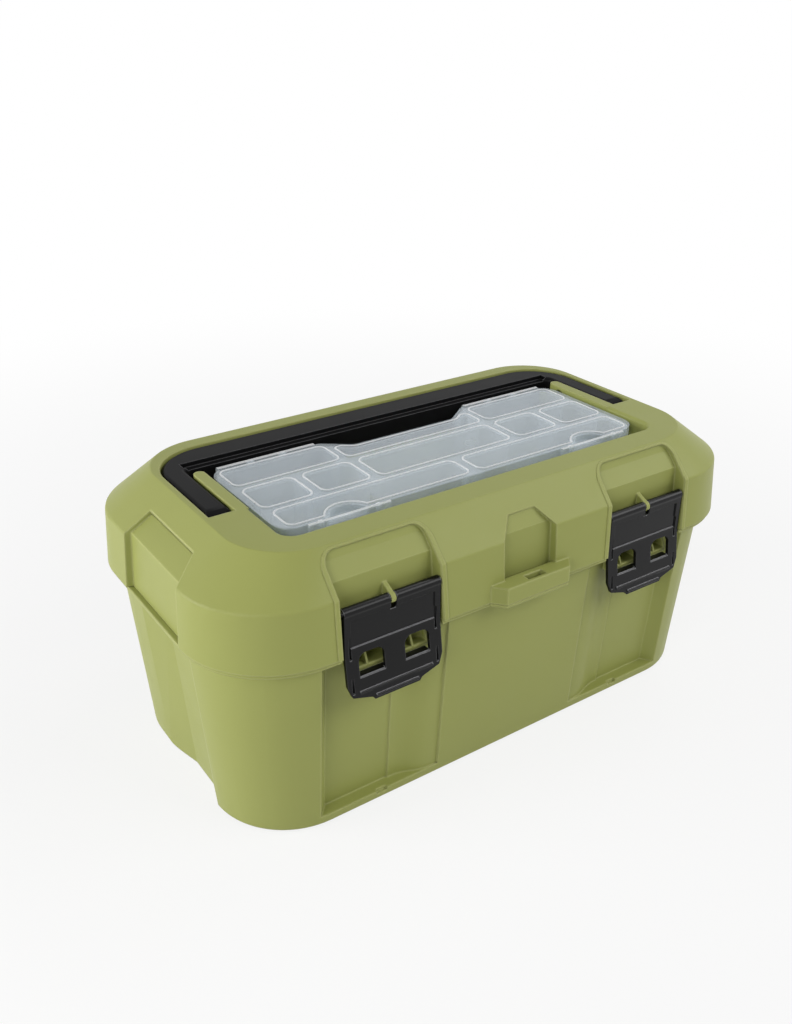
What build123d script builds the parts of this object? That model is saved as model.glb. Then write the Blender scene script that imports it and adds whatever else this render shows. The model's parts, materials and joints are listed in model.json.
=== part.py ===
"""Plastic toolbox with a hinged lid, a folding carry handle, two front latches
and a small-parts organiser that stows in a bay in the lid.

Millimetres, +Z up, +X along the length, -Y towards the latches. The origin is
the middle of the face that the box stands on.
"""
from build123d import *
import os
from math import radians, tan

# Lid, measured on the outside
rim_length = 500.0
rim_depth = 272.0
rim_corner = 75.0
skirt_height = 45.0          # rim to shoulder
skirt_inset = 3.3            # from the rim to the shoulder
lid_height = 73.0            # rim to top
top_length = 420.0
top_depth = 215.0
top_corner = 50.0
lid_wall = 3.0
lid_end_depth = 5.0          # recess in each end
lid_end_lowered = 13.0       # its top, under the lid's top
shoulder_round = 4.0
top_round = 2.5

# Body of the box, measured on the outside
parting_height = 156.0       # where the lid's rim ends
end_overhang = 7.8           # of the rim over the body
side_overhang = 7.3
base_corner = 64.0
base_draft = 4.0             # degrees, so that the moulding leaves its tool
base_wall = 3.2
base_floor = 3.2
base_edge_round = 4.0

# Flange that carries the lid, and the upstand inside it
lid_gap = 0.3
flange_thickness = 3.0
flange_setback = 1.6         # behind the lid's rim
upstand_height = 6.0
upstand_gap = 0.8            # to the walls of the recesses in the lid

# Recesses in the body's long walls, placed from the latches' middles
panel_half = 70.0            # middle panel that stands proud
panel_step = 1.6
scoop_start = 6.0            # from the panel's edge
scoop_side = 10.5
scoop_tip = 2.0
scoop_lip = 1.2
recess_side = 45.5
recess_flank = 9.0
recess_depth = 10.5
plinth_height = 9.0
drain_length = 9.0
drain_height = 2.6

# Recesses in the body's ends, centred on the handle's pivots
end_recess_depth = 8.0
end_recess_rear = 33.0
end_recess_floor_rear = 0.0
end_recess_floor_front = -31.0
end_recess_front = -57.0

# Bay in the lid for the organiser
bay_depth = 40.5
bay_front_land = 24.0        # from the front edge of the lid's top
bay_corner = 12.0
bay_edge_round = 3.0
strip_width = 9.0            # thin wall between the bay and one handle arm
block_rise = 14.5
block_draft = 6.0
block_front_step = 4.8       # behind the middle compartments' front edge
block_rear_step = 5.8        # behind their rear edge
buttress_run = 11.0
ledge_depth = 2.8            # lower part of the bay's end walls stands in
ledge_lowered = 15.0
shelf_step = 1.4
shelf_length = 30.0
shelf_reach = 7.0            # behind the bay
shelf_lowered = 11.0
bay_rib = 1.6
rib_offsets = (100.0, 132.0)
end_rib_places = (-55.0, 12.0)
end_rib_rise = 15.0
pocket_front = 4.0           # snap pocket, from the shelf's front edge
pocket_width = 7.0
pocket_height = 8.0
pocket_lowered = 3.0
pocket_depth = 4.0

# Groove around the bay, where the handle folds down
groove_end_land = 4.2        # from the ends of the lid's top
groove_rear_land = 13.0
groove_corner_inset = 5.0
groove_depth = 29.0

# Carry handle
handle_gap = 0.8
strip_gap = 0.6
arm_end_gap = 3.3
grip_gap = 1.0               # above the groove's floor
grip_width = 31.0
arm_width = 19.4
handle_wall = 3.2
handle_round = 4.0
handle_draft = 3.0
grip_corner = 8.0
grip_step_width = 6.0
grip_step_depth = 4.0
handle_rib_pitch = 62.0
handle_rib = 1.8
pivot_y = -13.5
pivot_lowered = 12.0
pivot_radius = 6.4
pivot_gap = 0.06
pivot_tip = 1.2              # short of the bay

# Latches and the recesses that they hang in
latch_center = 122.5
latch_width = 79.4
latch_side_gap = 2.3
latch_recess_setback = 11.4  # of the recess floor behind the rim
latch_recess_lean = 3.0
latch_ridge_rise = 7.5       # over the shoulder
latch_recess_lowered = 3.0
latch_recess_round = 9.0
latch_pivot_setback = 5.4
latch_pivot_lowered = 12.6   # under the shoulder
roll_radius = 3.9
latch_thickness = 3.0
latch_drop = 39.5            # below the parting
latch_fold_rise = 2.0        # above it
latch_lip = 5.5              # how far the lip stands out from the fold
latch_shoulder_drop = 24.0   # where the sides start to draw in
latch_side_taper = 3.2
latch_taper_drop = 8.5
latch_rim = 5.0              # raised border at each side
latch_panel_step = 1.0
side_groove_width = 1.6
side_groove_depth = 1.2
side_grooves = ((-30.0, -18.0), (-4.0, 14.0))
hook_gap = 0.3
catch_setback = 6.4
catch_drop = 15.6
catch_thickness = 3.0
gusset = 1.6
window_width = 21.0
window_offset = 19.0
window_height = 18.4
window_top_drop = 1.0
window_round = 6.5
sill = 2.8
lip_half = 19.0
lip_rise = 2.5
grip_bar_drop = 30.5
grip_bar_radius = 1.3
clasp_width = 4.6
clasp_gap = 0.5
clasp_rise = 9.0
waist_radius = 2.0
peg_radius = 1.9
peg_length = 2.0

# Padlock eye
eye_half = 38.0
eye_front_half = 30.0
eye_reach = 9.5
eye_height = 14.0
eye_slot_length = 17.0
eye_slot_width = 6.0
eye_recess_half = 25.0
eye_recess_top_half = 12.5
eye_recess_lowered = 14.5
eye_recess_depth = 7.5
base_tab_thickness = 2.4
base_tab_setback = 0.4

# Rear hinges
hinge_center = 120.0
hinge_reach = 7.6            # behind the rim
knuckle_radius = 6.4
knuckle_length = 18.0
knuckle_gap = 0.4
pin_radius = 2.0
pin_gap = 0.05
pin_chamfer = 0.4

# Organiser: room around it in the bay
seat_gap = 0.3
clip_room = 13.5             # in front, for fingers
finger_gap = 14.7            # behind, to the handle
bay_lap = 1.0                # over the bay's rear wall
box_side_gap = 3.5
cover_lowered = 2.9          # under the lid's top

# Organiser, in its own frame: x and y from the middle, z from its foot
box_corner = 17.0
box_draft = 4.0
tray_wall = 1.5
cover_thickness = 1.5
cover_wall = 1.4
cover_skirt = 6.5
skirt_short = 23.0           # the skirt stops this far from the rear edge
notch_side = 8.9             # beyond the middle compartment
notch_run = 23.0
notch_depth = 17.6
notch_round = 12.0

# Compartments of the organiser, laid out between lands and walls
front_land = 4.4
rear_land = 6.4
end_land = 7.1
row_walls = (8.0, 8.3)
row_shares = (0.284, 0.385, 0.331)
column_walls = (9.3, 9.0)
column_shares = (0.436, 0.281, 0.283)
cell_corner = 6.0
cell_draft = 3.0
rear_cell_step = 1.1
front_cell_inner = 5.0
front_cell_end_step = 2.4
notch_cell_side = 2.9
notch_cell_land = 4.3
notch_cell_rise = 6.5
bead_width = 1.3
bead_height = 0.7

# Thumb dishes behind the clips
thumb_radius = 16.0
thumb_reach = 4.2            # dish's middle, in front of the box
thumb_rim = 4.2
dish_depth = 5.0

# Hinge along the organiser's rear edge
box_hinge_reach = 1.9        # behind the box
box_hinge_lowered = 0.1      # under the deck
hinge_rod_radius = 1.3
hinge_barrel_radius = 2.3
rod_gap = 0.05
box_ear_width = 5.0
box_ear_gap = 0.5
box_hinge_inset = 4.0        # from the finger notch
box_hinge_end = 9.5          # from the box's end

# Clips on the organiser's front edge
clip_inset = 55.0            # clip's middle, from the box's end
clip_width = 68.0
clip_thickness = 1.6
clip_drop = 10.5
clip_rod_reach = 2.1         # in front of the box
clip_rod_rise = 0.9          # above the deck
clip_rod_radius = 1.0
clip_barrel_radius = 1.7
clip_ear_offset = 24.0
clip_ear_width = 3.0
clip_ear_radius = 1.9
clip_ear_gap = 0.4
clip_nose_reach = 0.6
clip_nose_drop = 6.5         # under the deck
clip_foot_height = 1.5
comb_center = 48.0           # groups of short ribs beside the middle
comb_pitch = 3.6
comb_count = 4
comb_rib = 1.2
comb_height = 9.0

past = 4.0                   # how far a cut runs beyond the face that it opens

# What follows from the sizes above
slope = tan(radians(base_draft))
base_length = rim_length - 2 * (end_overhang + parting_height * slope)
base_depth = rim_depth - 2 * (side_overhang + parting_height * slope)
shoulder_height = parting_height + skirt_height
top_height = parting_height + lid_height
flange_top = parting_height - lid_gap
flange_bottom = flange_top - flange_thickness
upstand_top = flange_top + upstand_height

groove_half = top_length / 2 - groove_end_land
groove_rear = top_depth / 2 - groove_rear_land
groove_corner = top_corner - groove_corner_inset
groove_floor_height = top_height - groove_depth
handle_top = top_height - handle_gap
grip_bottom = groove_floor_height + grip_gap
gap_rear = groove_rear - handle_gap - grip_width
pivot_z = top_height - pivot_lowered
arm_end_radius = handle_top - pivot_z
arm_bottom = pivot_z - arm_end_radius
groove_front = pivot_y - arm_end_radius - arm_end_gap
arm_inner = groove_half - handle_gap - arm_width
strip_outer = arm_inner - strip_gap

bay_half = strip_outer - strip_width
bay_front = -(top_depth / 2 - bay_front_land)
box_rear = gap_rear - finger_gap
box_front = bay_front + clip_room
bay_rear = box_rear - bay_lap
bay_floor_height = top_height - bay_depth

box_depth = box_rear - box_front
box_center_y = (box_rear + box_front) / 2
box_half = bay_half - box_side_gap
deck_height = bay_depth - 2 * seat_gap - cover_thickness - cover_lowered
center_floor = block_rise + tray_wall
box_hinge_y = box_depth / 2 + box_hinge_reach
box_hinge_z = deck_height - box_hinge_lowered
clip_center = box_half - clip_inset
clip_rod_y = -box_depth / 2 - clip_rod_reach
clip_rod_z = deck_height + clip_rod_rise
clip_nose_y = -box_depth / 2 - clip_nose_reach
clip_nose_z = deck_height - clip_nose_drop
thumb_y = -box_depth / 2 - thumb_reach

latch_recess_half = latch_width / 2 + latch_side_gap
latch_recess_face = rim_depth / 2 - latch_recess_setback
latch_pivot_y = -rim_depth / 2 + latch_pivot_setback
latch_pivot_z = shoulder_height - latch_pivot_lowered
latch_fold_y = latch_pivot_y - roll_radius + 0.5
latch_fold = parting_height + latch_fold_rise
latch_bottom = parting_height - latch_drop
latch_shoulder = parting_height - latch_shoulder_drop
catch_nose = -rim_depth / 2 + catch_setback
catch_top = parting_height - catch_drop
hinge_y = rim_depth / 2 + hinge_reach
hinge_z = parting_height


def lay_out(start, room, walls, shares):
    """Near and far edges of compartments set side by side."""
    free = room - sum(walls)
    edges = []
    for share, wall in zip(shares, walls + (0.0,)):
        edges.append((start, start + share * free))
        start += share * free + wall
    return edges


rows = lay_out(-box_depth / 2 + front_land, box_depth - front_land - rear_land,
               row_walls, row_shares)
columns = lay_out(0.0, box_half - end_land, column_walls, column_shares)
front_row, middle_row, rear_row = rows
center_half = columns[0][1]
notch_half = center_half + notch_side


def tapered_block(levels):
    """Solid through rounded rectangles given as (height, length, depth, corner)."""
    sections = []
    for height, length, depth, corner in levels:
        sections.append(Plane.XY.offset(height) * RectangleRounded(length, depth, corner))
    return loft(sections, ruled=True)


def across(points, middle, width):
    """Prism along X from (y, z) points, centred on x = middle."""
    face = Plane.YZ.offset(middle - width / 2) * Polygon(*points, align=None)
    return extrude(face, amount=width, dir=(1, 0, 0))


def from_front(face, back, front):
    """Prism along Y from a face drawn in (x, z), between two y values."""
    return extrude(Plane.XZ.offset(-back) * face, amount=back - front, dir=(0, -1, 0))


def upright(plan, low, high):
    """Prism that stands on a plan, between two heights."""
    return extrude(Pos(0, 0, low) * plan, amount=high - low, dir=(0, 0, 1))


def widening(plan, low, high, draft):
    """Prism on a plan at its low end, whose sides lean out."""
    return extrude(Pos(0, 0, low) * plan, amount=high - low, dir=(0, 0, 1), taper=-draft)


def narrowing(plan, high, low, draft):
    """Prism down from a plan at its high end, whose sides lean in."""
    return extrude(Pos(0, 0, high) * plan, amount=high - low, dir=(0, 0, -1), taper=draft)


def bar(radius, middle, length, y, z):
    """Round bar along X."""
    return Pos(middle, y, z) * Rot(0, 90, 0) * Cylinder(radius, length)


def span(x0, x1, y0, y1, z0, z1):
    """Box between two corners, given in either order along X."""
    middle = Pos((x0 + x1) / 2, (y0 + y1) / 2, (z0 + z1) / 2)
    return middle * Box(abs(x1 - x0), y1 - y0, z1 - z0)


def follow_draft(plan, rise, lean):
    """Prism that climbs by rise along a leaning direction."""
    return extrude(plan, amount=rise * lean.length, dir=lean)


def both_sides(shape):
    """The shape and its mirror image at the other end of the box."""
    return shape + mirror(shape, about=Plane.YZ)


# Body of the box


def base_plan(height, inset=0.0):
    """Outline of the body at a height, inset from its outer face."""
    grow = height * slope - inset
    return RectangleRounded(base_length + 2 * grow, base_depth + 2 * grow, base_corner + grow)


def wall_recess(grow):
    """Recess at one end of the front wall; grow makes the hollow's side of it."""
    foot = 0.0 if grow else plinth_height
    face = -(base_depth / 2 + foot * slope)
    out = face - past
    shallow = face + panel_step + grow
    deep = face + recess_depth + grow
    start = panel_half - grow
    scoop = latch_center - scoop_side - grow
    floor_end = latch_center + recess_side
    outer = floor_end + recess_flank + grow
    near = (start + scoop_start, shallow)
    tip = (scoop - scoop_tip, deep - scoop_lip)
    halfway = ((near[0] + tip[0]) / 2, (near[1] + tip[1]) / 2)
    curve = [TangentArc(near, halfway, tangent=(1, 0)),
             TangentArc(tip, halfway, tangent=(-1, 0))]
    outline = Polyline(
        near, (start, shallow), (start, out), (outer, out), (outer, face + grow),
        (floor_end + grow / 2, deep), (scoop, deep), (scoop, tip[1]), tip)
    plan = Plane.XY.offset(foot) * make_face(curve + [outline])
    return follow_draft(plan, flange_bottom - foot + grow, Vector(0, -slope, 1))


def end_recess(grow):
    """Recess up the whole of the left end wall."""
    foot = -past / 2
    face = -(base_length / 2 + foot * slope)
    out = face - past
    deep = face + end_recess_depth + grow
    points = [
        (out, end_recess_rear + grow), (face + grow, end_recess_rear + grow),
        (deep, end_recess_floor_rear + grow / 2), (deep, end_recess_floor_front - grow / 2),
        (face + grow, end_recess_front - grow), (out, end_recess_front - grow),
    ]
    plan = Plane.XY.offset(foot) * Polygon(*points, align=None)
    return follow_draft(plan, flange_bottom - foot + grow, Vector(-slope, 0, 1))


def catch(middle):
    """Ledge with gussets, which a latch closes over."""
    half = latch_width / 2 - latch_rim - 2
    wall = -(base_depth / 2 - recess_depth) + 2
    ledge = span(middle - half, middle + half, catch_nose, wall,
                 catch_top - catch_thickness, catch_top)
    side = [(wall, catch_top - 1), (catch_nose, catch_top - 1), (catch_nose, catch_top + 1),
            (-latch_recess_face + 1.2, flange_bottom + 1), (wall, flange_bottom + 1)]
    edge = half - gusset / 2
    for offset in (-edge, -window_offset, 0, window_offset, edge):
        ledge += across(side, middle + offset, gusset)
    return ledge


def eye_plan(clear=0.0):
    """Outline of the padlock tabs, sloping in at the ends."""
    face = -rim_depth / 2
    wall = face + past
    front = face - eye_reach + clear
    return Polygon((-eye_half, wall), (-eye_half, face), (-eye_front_half, front),
                   (eye_front_half, front), (eye_half, face), (eye_half, wall), align=None)


def eye_slot():
    """Slot for the padlock's shackle, through both tabs."""
    middle = -(rim_depth / 2 + eye_reach / 2 - 1)
    return Pos(0, middle, parting_height) * Box(eye_slot_length, eye_slot_width, 4 * eye_height)


def hinge_seat(middle):
    """Body's half of one hinge: two knuckles on webs that stand off the flange."""
    step = knuckle_length + knuckle_gap
    root = base_depth / 2 - recess_depth
    side = [(root, flange_bottom - 22), (root, flange_bottom),
            (rim_depth / 2 - flange_setback - 3, flange_top),
            (hinge_y - knuckle_radius + 0.8, flange_top),
            (hinge_y, hinge_z + 2), (hinge_y + knuckle_radius - 0.2, hinge_z),
            (hinge_y + 3, hinge_z - knuckle_radius + 1)]
    halves = []
    for offset in (-step, step):
        web = across(side, middle + offset, knuckle_length)
        halves.append(web + bar(knuckle_radius, middle + offset, knuckle_length,
                                hinge_y, hinge_z))
    return halves[0] + halves[1]


def make_base_shell():
    outer = widening(base_plan(0), 0, upstand_top, base_draft)
    outer = fillet(outer.edges().group_by(Axis.Z)[0], base_edge_round)
    hollow = widening(base_plan(base_floor, base_wall), base_floor, upstand_top + 1, base_draft)
    front = both_sides(wall_recess(0))
    front_inside = both_sides(wall_recess(base_wall))
    outer = outer - front - mirror(front, about=Plane.XZ) - both_sides(end_recess(0))
    hollow = hollow - front_inside - mirror(front_inside, about=Plane.XZ)
    hollow -= both_sides(end_recess(base_wall))
    back = 2 * flange_setback
    plan = RectangleRounded(rim_length - back, rim_depth - back, rim_corner - flange_setback)
    flange = upright(plan, flange_bottom, flange_top) - hollow
    for middle in (-latch_center, latch_center):
        flange -= span(middle - latch_recess_half, middle + latch_recess_half,
                       -rim_depth, -latch_recess_face + 1.5, 0, parting_height)
    shell = outer + flange - hollow
    shell += upright(eye_plan(base_tab_setback), flange_top - base_tab_thickness, flange_top)
    for middle in (-latch_center, latch_center):
        shell += catch(middle)
        shell -= span(middle - drain_length / 2, middle + drain_length / 2, -base_depth,
                      -base_depth / 2 + 2, plinth_height - drain_height, plinth_height)
    for middle in (-hinge_center, hinge_center):
        shell += hinge_seat(middle)
        shell -= bar(pin_radius + pin_gap, middle, 4 * knuckle_length, hinge_y, hinge_z)
    room = lid_wall + upstand_gap
    above = span(-rim_length, rim_length, -rim_depth, rim_depth, flange_top, top_height)
    for jacket in (both_sides(latch_recess(room)), eye_recess(room),
                   both_sides(lid_end_recess(room))):
        shell -= jacket & above
    return shell - eye_slot()


def make_hinge_pin(middle):
    length = 3 * knuckle_length + 2 * knuckle_gap
    pin = bar(pin_radius, middle, length, hinge_y, hinge_z)
    return chamfer(pin.edges(), pin_chamfer)


# Lid


def lid_level(height, inset=0.0):
    """Outline of the lid at a height above the shoulder, inset level with the ground."""
    run = (height - shoulder_height) / (top_height - shoulder_height)
    length = rim_length - 2 * skirt_inset
    depth = rim_depth - 2 * skirt_inset
    corner = rim_corner - skirt_inset
    return (height, length + (top_length - length) * run - 2 * inset,
            depth + (top_depth - depth) * run - 2 * inset,
            corner + (top_corner - corner) * run - inset)


def lid_outside():
    """Skirt, shoulder and sloping crown, with their rounded edges."""
    block = tapered_block([(parting_height, rim_length, rim_depth, rim_corner),
                           lid_level(shoulder_height), lid_level(top_height)])
    block = fillet(block.edges().group_by(Axis.Z)[-1], top_round)
    ridge = block.edges().filter_by_position(Axis.Z, shoulder_height - 0.1,
                                             shoulder_height + 0.1)
    return fillet(ridge, shoulder_round)


def lid_inside():
    """Hollow under the lid, one wall in from the outside."""
    inset = lid_wall * 1.4
    return tapered_block([
        (parting_height - 1, rim_length - 2 * lid_wall, rim_depth - 2 * lid_wall,
         rim_corner - lid_wall),
        lid_level(shoulder_height - 1, inset), lid_level(top_height - lid_wall, inset)])


def bay_space(grow):
    """Room for the organiser, open at the rear to the handle's groove."""
    plan = RectangleRounded(2 * (bay_half + grow), bay_rear - bay_front + 2 * grow,
                            bay_corner + grow)
    return upright(Pos(0, (bay_front + bay_rear) / 2) * plan, bay_floor_height - grow,
                   top_height + 1)


def groove_space(grow):
    """Room for the folded handle, all round the bay's rear and ends."""
    depth = groove_rear - groove_front + 2 * grow
    plan = Pos(0, (groove_front + groove_rear) / 2) * Rectangle(2 * (groove_half + grow), depth)
    plan = fillet(plan.vertices().group_by(Axis.Y)[-1], groove_corner + grow)
    return upright(plan, groove_floor_height - grow, top_height + 1)


def latch_recess(grow):
    """Recess that a latch hangs in, on the right half of the front."""
    half = latch_recess_half + grow
    low = parting_height - 6
    top = top_height - latch_recess_lowered + grow
    face = Polygon((latch_center - half, low), (latch_center + half, low),
                   (latch_center + half, top), (latch_center - half + 3, top), align=None)
    face = fillet(face.vertices().group_by(Axis.Y)[-1], latch_recess_round + grow)
    floor = -latch_recess_face + grow
    ridge = floor + latch_recess_lean
    side = across(
        [(-rim_depth, low), (floor, low), (ridge, shoulder_height + latch_ridge_rise),
         (ridge + 10, top_height - latch_recess_lowered - 6), (ridge + 13, top),
         (ridge + 13, top + 1), (-rim_depth, top + 1)],
        latch_center, 4 * latch_recess_half)
    return from_front(face, 0, -rim_depth) & side


def eye_recess(grow):
    """Shallow recess above the padlock eye."""
    half = eye_recess_half + grow
    small = eye_recess_top_half + grow
    top = top_height - eye_recess_lowered + grow
    low = parting_height - 6
    face = Polygon((-half, low), (half, low), (half, shoulder_height), (small, top),
                   (-small, top), (-half, shoulder_height), align=None)
    floor = -rim_depth / 2 + eye_recess_depth + grow
    side = across(
        [(-rim_depth, low), (floor, low), (floor + 2.5, shoulder_height + 2),
         (floor + 9, top - 1), (floor + 10, top + 1), (-rim_depth, top + 1)],
        0, 4 * eye_recess_half)
    return from_front(face, 0, -rim_depth) & side


def lid_end_recess(grow):
    """Shallow recess in the left end, above the one in the body."""
    face = -rim_length / 2
    out = face - past
    depth = lid_end_depth + grow
    rear = end_recess_rear + grow
    front = end_recess_front - grow
    plan = Polygon(
        (out, rear + 2), (face, rear + 2), (face + 25, rear - 4), (face + 25, front + 12),
        (face, front - 4), (out, front - 4), align=None)
    low = parting_height - 6
    column = upright(plan, low, top_height - lid_end_lowered + grow)
    outside = Polygon(
        (out - 2, low), (face + depth, low), (face + skirt_inset + depth, shoulder_height),
        (-top_length / 2 + depth, top_height), (out - 2, top_height), align=None)
    return column & from_front(outside, rim_depth / 2, -rim_depth / 2)


def strip(side):
    """Thin wall between the bay and one handle arm, rounded at its rear end."""
    front = groove_front - 2
    plan = Pos(side * (bay_half + strip_outer) / 2, (bay_rear + front) / 2)
    plan = plan * Rectangle(strip_width, bay_rear - front)
    plan = fillet(plan.vertices().group_by(Axis.Y)[-1], strip_width / 2 - 0.1)
    return upright(plan, groove_floor_height - lid_wall, top_height)


def middle_block():
    """Raised block in the bay's floor, under the organiser's middle compartment."""
    front = box_center_y + middle_row[0] + block_front_step
    rear = box_center_y + middle_row[1] + block_rear_step
    floor = bay_floor_height - 1
    plan = Pos(0, (front + rear) / 2) * Rectangle(2 * (center_half + 2), rear - front)
    block = extrude(Pos(0, 0, floor) * plan, amount=block_rise + 1, taper=block_draft)
    return fillet(block.edges().group_by(Axis.Z)[-1], 2)


def bay_fittings():
    """Raised block, rear buttress, ribs and the ledges along the bay's ends."""
    floor = bay_floor_height - 1
    block = middle_block() + across(
        [(bay_rear - buttress_run, floor), (bay_rear - 1, groove_floor_height),
         (bay_rear + 2, groove_floor_height), (bay_rear + 2, floor)], 0, 2 * (center_half - 1))
    shelf_rear = bay_rear + shelf_reach
    shelf_front = shelf_rear - shelf_length
    for side in (-1, 1):
        for offset in rib_offsets:
            block += across([(bay_rear - 2.5, floor), (bay_rear - 1.5, groove_floor_height - 3),
                             (bay_rear + 1, groove_floor_height - 1), (bay_rear + 1, floor)],
                            side * offset, bay_rib)
        wall = side * (bay_half + 1)
        face = side * (bay_half - ledge_depth)
        block += span(wall, face, bay_front - 1, shelf_rear - 10, floor,
                      top_height - ledge_lowered)
        face = side * (bay_half - ledge_depth - shelf_step)
        block += span(wall, face, shelf_front, bay_rear + 1, floor, groove_floor_height)
        block += span(wall, face, shelf_front, shelf_rear, groove_floor_height - 1,
                      top_height - shelf_lowered)
        for place in end_rib_places:
            block += span(wall, face, place - bay_rib / 2, place + bay_rib / 2, floor,
                          bay_floor_height + end_rib_rise)
    return block


def snap_pocket(side):
    """Small pocket in a shelf's wall, and the hook that shows in it."""
    low = bay_rear + shelf_reach - shelf_length + pocket_front
    top = top_height - pocket_lowered
    face = side * (bay_half - ledge_depth - shelf_step - 1)
    back = side * (bay_half + pocket_depth)
    pocket = span(face, back, low, low + pocket_width, top - pocket_height, top)
    hook = span(side * (bay_half + 1), back, low + 2, low + pocket_width - 2,
                top - pocket_height / 2 - 1, top - pocket_height / 2 + 1)
    return pocket - hook


def clasp(middle):
    """Ring on a rib that holds a latch's roll at its waist."""
    width = clasp_width - 2 * clasp_gap
    root = -latch_recess_face + past
    rib = across(
        [(root, latch_pivot_z + clasp_rise), (root, latch_pivot_z - 3),
         (latch_pivot_y, latch_pivot_z - roll_radius + 1.5),
         (latch_pivot_y, latch_pivot_z + roll_radius)], middle, width)
    return rib + bar(roll_radius, middle, width, latch_pivot_y, latch_pivot_z)


def lid_knuckle(middle):
    """Lid's middle knuckle of one hinge, on a web from the skirt."""
    root = rim_depth / 2 - lid_wall / 2
    web = across([(root, parting_height + 0.6), (hinge_y, hinge_z), (hinge_y + 4, hinge_z + 5),
                  (hinge_y - 2, hinge_z + 12), (root, hinge_z + 20)], middle, knuckle_length)
    return web + bar(knuckle_radius, middle, knuckle_length, hinge_y, hinge_z)


def bay_edge(edge):
    """Whether an edge is part of the bay's rim in front of the handle's groove."""
    middle = edge.center()
    level = abs(middle.Z - top_height) < 0.01
    return level and bay_front - 1 < middle.Y < groove_front - 1 and abs(middle.X) < bay_half + 1


def make_lid_shell():
    pockets = bay_space(0) + groove_space(0)
    outside = lid_outside() - pockets
    outside = fillet(outside.edges().filter_by(bay_edge), bay_edge_round)
    jackets = bay_space(lid_wall) + groove_space(lid_wall)
    front = both_sides(latch_recess(0)) + eye_recess(0)
    front_jackets = both_sides(latch_recess(lid_wall)) + eye_recess(lid_wall)
    hollow = lid_inside() - jackets - front_jackets - both_sides(lid_end_recess(lid_wall))
    shell = outside - hollow - front - both_sides(lid_end_recess(0))
    shell += strip(-1) + strip(1) + bay_fittings()
    shell += upright(eye_plan(), parting_height, parting_height + eye_height)
    shell -= eye_slot()
    reach = strip_width + pivot_lowered
    for side in (-1, 1):
        shell -= bar(pivot_radius + pivot_gap, side * (bay_half + strip_width / 2),
                     reach + strip_width, pivot_y, pivot_z)
        shell -= snap_pocket(side)
        shell += clasp(side * latch_center)
        shell -= bar(waist_radius + pin_gap, side * latch_center, 2 * clasp_width,
                     latch_pivot_y, latch_pivot_z)
        shell -= bar(peg_radius + pin_gap, side * latch_center,
                     2 * (latch_recess_half + peg_length), latch_pivot_y, latch_pivot_z)
        shell += lid_knuckle(side * hinge_center)
        shell -= bar(pin_radius + pin_gap, side * hinge_center, 2 * knuckle_length,
                     hinge_y, hinge_z)
    return shell


# Carry handle


def handle_plan(inset):
    """U-shaped outline of the handle, as an outer block and the notch in it."""
    half = groove_half - handle_gap - inset
    rear = groove_rear - handle_gap - inset
    front = pivot_y - arm_end_radius - past
    outer = Pos(0, (front + rear) / 2) * Rectangle(2 * half, rear - front)
    outer = fillet(outer.vertices().group_by(Axis.Y)[-1], groove_corner - handle_gap - inset)
    depth = gap_rear + inset - front + past
    notch = Pos(0, gap_rear + inset - depth / 2) * Rectangle(2 * (arm_inner + inset), depth)
    return outer, fillet(notch.vertices().group_by(Axis.Y)[-1], grip_corner)


def make_carry_handle():
    outer, notch = handle_plan(0)
    rear = groove_rear - handle_gap
    depth = handle_top - grip_bottom
    body = narrowing(outer, handle_top, grip_bottom, handle_draft)
    body -= upright(notch, grip_bottom - 1, handle_top + 1)
    body = fillet(body.edges().group_by(Axis.Z)[-1], handle_round)
    body -= span(-arm_inner, arm_inner, gap_rear - 1, gap_rear + grip_step_width,
                 handle_top - grip_step_depth, handle_top + 1)
    draft = depth * tan(radians(handle_draft))
    outer, notch = handle_plan(handle_wall)
    channel = upright(outer - notch, grip_bottom - 1,
                      handle_top - grip_step_depth - handle_wall)
    channel &= span(-rim_length, rim_length, pivot_y + arm_end_radius,
                    rear - handle_wall - draft, 0, top_height)
    ribs = int(arm_inner / handle_rib_pitch)
    for step in range(-ribs, ribs + 1):
        middle = step * handle_rib_pitch
        channel -= span(middle - handle_rib / 2, middle + handle_rib / 2, gap_rear - 1,
                        rear, grip_bottom + 2, top_height)
    body -= channel
    side = bar(arm_end_radius, 0, rim_length, pivot_y, pivot_z)
    side += across([(pivot_y, arm_bottom), (gap_rear - 10, arm_bottom), (gap_rear, grip_bottom),
                    (rear + 1, grip_bottom), (rear + 1, handle_top), (pivot_y, handle_top)],
                   0, rim_length)
    body &= side
    for end in (-1, 1):
        tip = bay_half + pivot_tip
        length = arm_inner + 2 - tip
        body += bar(pivot_radius, end * (tip + length / 2), length, pivot_y, pivot_z)
    return body


# Front latches


def latch_front(height):
    """Where the latch's front face is at a height."""
    if height >= latch_fold:
        return latch_fold_y
    return latch_fold_y - latch_lip * (latch_fold - height) / (latch_fold - latch_bottom)


def latch_window(offset):
    """Opening that the catch shows through, rounded at the top."""
    half = window_width / 2
    top = parting_height - window_top_drop
    low = top - window_height
    face = Polygon((offset - half, low), (offset + half, low),
                   (offset + half, top), (offset - half, top), align=None)
    face = fillet(face.vertices().group_by(Axis.Y)[-1], window_round)
    return from_front(face, latch_pivot_y + 5, latch_pivot_y - 15)


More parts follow.
